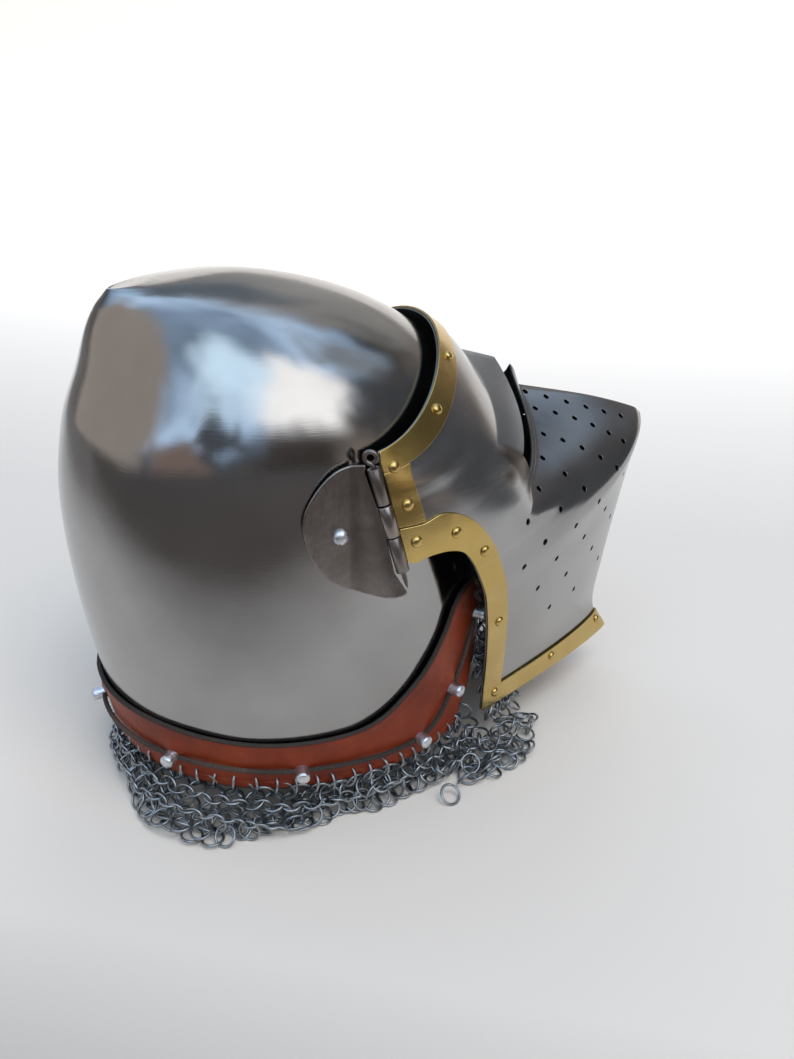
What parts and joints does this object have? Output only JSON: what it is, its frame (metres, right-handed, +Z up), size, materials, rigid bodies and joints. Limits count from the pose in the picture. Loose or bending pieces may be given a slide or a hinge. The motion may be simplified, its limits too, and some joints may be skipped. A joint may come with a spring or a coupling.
{
  "type": "visored bascinet helmet with vervelle band and mail aventail",
  "caption": "Pointed steel helmet with a pierced pig-faced visor on hinged pivots, brass trim, a laced leather band and a short mail aventail.",
  "frame": {"origin": "centre of the bounding box at the surface that the mail lies on", "axes": "+Z up, the face looks along -Y, the wearer's left is +X"},
  "size_m": [0.2524, 0.3756, 0.299],
  "materials": {
    "polished_steel": "polished with fine scratches",
    "dark_steel": "worn, slightly browned",
    "brass": "polished, lightly scratched",
    "aluminium_studs": "bright turned metal",
    "leather": "smooth red-brown, satin",
    "lace": "braided dark cord",
    "mail": "galvanised steel rings"
  },
  "bodies": {
    "helmet": {"skull": "polished_steel", "pivot_rivet_right": "aluminium_studs", "pivot_rivet_left": "aluminium_studs", "leather_band": "leather", "lace": "lace", "vervelle_1_right": "aluminium_studs", "vervelle_1_left": "aluminium_studs", "vervelle_2_right": "aluminium_studs", "vervelle_2_left": "aluminium_studs", "vervelle_3_right": "aluminium_studs", "vervelle_3_left": "aluminium_studs", "vervelle_4_right": "aluminium_studs", "vervelle_4_left": "aluminium_studs", "vervelle_5_right": "aluminium_studs", "vervelle_5_left": "aluminium_studs", "vervelle_nape": "aluminium_studs", "mail_aventail": "mail"},
    "visor": {"visor": "polished_steel", "pivot_plate_right": "dark_steel", "pivot_plate_left": "dark_steel", "hinge_leaf_right": "dark_steel", "hinge_leaf_left": "dark_steel", "prow_knob": "dark_steel", "brow_trim": "brass", "chin_trim": "brass", "side_trim_right": "brass", "side_trim_left": "brass", "hinge_strap_right": "brass", "hinge_strap_left": "brass", "brow_rivet_1_right": "brass", "brow_rivet_1_left": "brass", "brow_rivet_2_right": "brass", "brow_rivet_2_left": "brass", "brow_rivet_3_right": "brass", "brow_rivet_3_left": "brass", "strap_rivet_right": "brass", "strap_rivet_left": "brass", "side_rivet_1_right": "brass", "side_rivet_1_left": "brass", "side_rivet_2_right": "brass", "side_rivet_2_left": "brass", "side_rivet_3_right": "brass", "side_rivet_3_left": "brass", "side_rivet_4_right": "brass", "side_rivet_4_left": "brass", "chin_rivet_1_right": "brass", "chin_rivet_1_left": "brass", "chin_rivet_2_right": "brass", "chin_rivet_2_left": "brass", "chin_rivet_3_right": "brass", "chin_rivet_3_left": "brass"},
    "pin_right": {"hinge_pin_right": "dark_steel"},
    "pin_left": {"hinge_pin_left": "dark_steel"}
  },
  "joints": [
    {"name": "visor_lift", "type": "hinge", "parent": "helmet", "child": "visor", "pos_m": [0, 0.05447, 0.183], "axis": [-1, 0, 0], "range_deg": [0, 45]},
    {"name": "pin_right_draw", "type": "slide", "parent": "visor", "child": "pin_right", "axis": [0.114, 0.2493, 0.9617], "range_m": [0, 0.066]},
    {"name": "pin_left_draw", "type": "slide", "parent": "visor", "child": "pin_left", "axis": [-0.114, 0.2493, 0.9617], "range_m": [0, 0.066]}
  ]
}
